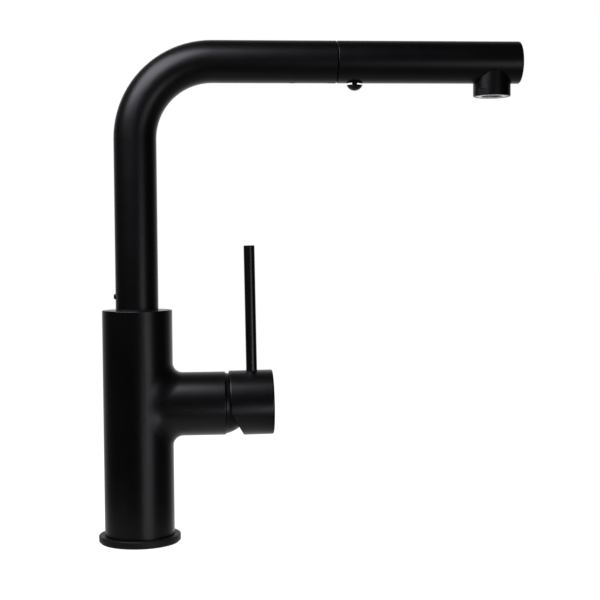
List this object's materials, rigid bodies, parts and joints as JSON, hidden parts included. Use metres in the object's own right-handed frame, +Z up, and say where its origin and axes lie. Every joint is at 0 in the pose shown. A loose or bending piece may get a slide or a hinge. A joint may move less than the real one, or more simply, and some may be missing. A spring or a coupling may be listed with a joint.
{
  "type": "kitchen mixer tap",
  "caption": "Matte black kitchen mixer tap: round column, side-mounted pin lever, L-shaped swivel spout and a pull-out spray head docked in line with the arm.",
  "frame": {"origin": "on the column's axis, in the plane of the worktop that the foot stands on", "axes": "+Z up along the column, +X along the spout arm and the lever's branch, as shown at rest"},
  "size_m": [0.284, 0.054, 0.3306],
  "materials": {
    "matte_black": "fine matte black powder coat",
    "black_screw": "black oxide steel",
    "black_rubber": "moulded rubber",
    "plain_brass": "machined brass",
    "bearing_plastic": "low-friction plastic",
    "core_plastic": "glass-filled plastic",
    "cartridge_plastic": "moulded plastic",
    "disc_ceramic": "lapped alumina",
    "bright_steel": "turned stainless steel",
    "hose_braid": "braided nylon",
    "spray_metal": "satin nickel",
    "grid_plastic": "moulded plastic"
  },
  "bodies": {
    "base": {"base_gasket": "black_rubber", "base_flange": "matte_black", "mixer_body": "matte_black", "swivel_nipple": "plain_brass", "slip_washer": "core_plastic", "lower_bearing_ring": "bearing_plastic", "upper_bearing_ring": "bearing_plastic", "cartridge_seal": "black_rubber", "cartridge_base": "cartridge_plastic", "fixed_ceramic_disc": "disc_ceramic", "cartridge_housing": "cartridge_plastic", "cartridge_nut": "plain_brass", "dome_cover": "matte_black", "hose_lower_run": "hose_braid", "hose_tail_fitting": "plain_brass", "hose_tail_o_ring": "black_rubber"},
    "turret": {"spindle_carrier": "cartridge_plastic", "pivot_pin": "bright_steel"},
    "moving_disc": {"moving_ceramic_disc": "disc_ceramic", "disc_slider": "cartridge_plastic"},
    "lever": {"spindle": "bright_steel", "handle_hub": "matte_black", "lever_rod": "matte_black", "handle_grub_screw": "black_screw", "grub_screw_plug": "black_rubber"},
    "spout": {"spout_tube": "matte_black", "spout_retaining_screw": "black_screw", "docking_collar": "core_plastic", "collar_set_screw": "black_screw", "hose_bend_run": "hose_braid"},
    "spray_head": {"head_shell": "matte_black", "head_core": "core_plastic", "dock_o_ring": "black_rubber", "hose_coupling": "plain_brass", "inlet_washer": "black_rubber", "hose_ferrule": "bright_steel", "hose_straight_run": "hose_braid", "check_valve_body": "bearing_plastic", "nozzle_sleeve": "matte_black", "spray_face": "spray_metal", "aerator_housing": "spray_metal", "aerator_grid": "grid_plastic", "aerator_jet_plate": "grid_plastic", "aerator_o_ring": "black_rubber", "diverter_gland": "core_plastic", "check_valve_spring": "bright_steel", "diverter_spring": "bright_steel"},
    "valve_poppet": {"check_valve_poppet": "bearing_plastic"},
    "diverter": {"diverter_button": "black_screw", "diverter_spool": "plain_brass", "spool_o_rings": "black_rubber"}
  },
  "joints": [
    {"name": "spout_swivel", "type": "hinge", "parent": "base", "child": "spout", "pos_m": [0, 0, 0.1544], "axis": [0, 0, 1], "range_deg": [-165, 165]},
    {"name": "spray_head_pull", "type": "slide", "parent": "spout", "child": "spray_head", "axis": [1, 0, 0], "range_m": [0, 0.45], "deforming": ["hose_straight_run"]},
    {"name": "diverter_push", "type": "slide", "parent": "spray_head", "child": "diverter", "axis": [0, 0, 1], "range_m": [0, 0.003], "stiffness_N_per_m": 500, "springref_m": -0.004, "deforming": ["diverter_spring"]},
    {"name": "check_valve_lift", "type": "slide", "parent": "spray_head", "child": "valve_poppet", "axis": [1, 0, 0], "range_m": [0, 0.0018], "stiffness_N_per_m": 120, "springref_m": -0.0015, "deforming": ["check_valve_spring"]},
    {"name": "temperature_turn", "type": "hinge", "parent": "base", "child": "turret", "pos_m": [0.054, 0, 0.0909], "axis": [1, 0, 0], "range_deg": [-45, 45]},
    {"name": "lever_lift", "type": "hinge", "parent": "turret", "child": "lever", "pos_m": [0.054, 0, 0.0909], "axis": [0, 1, 0], "range_deg": [0, 25]},
    {"name": "disc_shift", "type": "slide", "parent": "turret", "child": "moving_disc", "axis": [0, 0, 1], "range_m": [0, 0.0059]}
  ],
  "couplings": [
    {"joint": "disc_shift", "follows": "lever_lift", "m_per_rad": 0.0134}
  ]
}
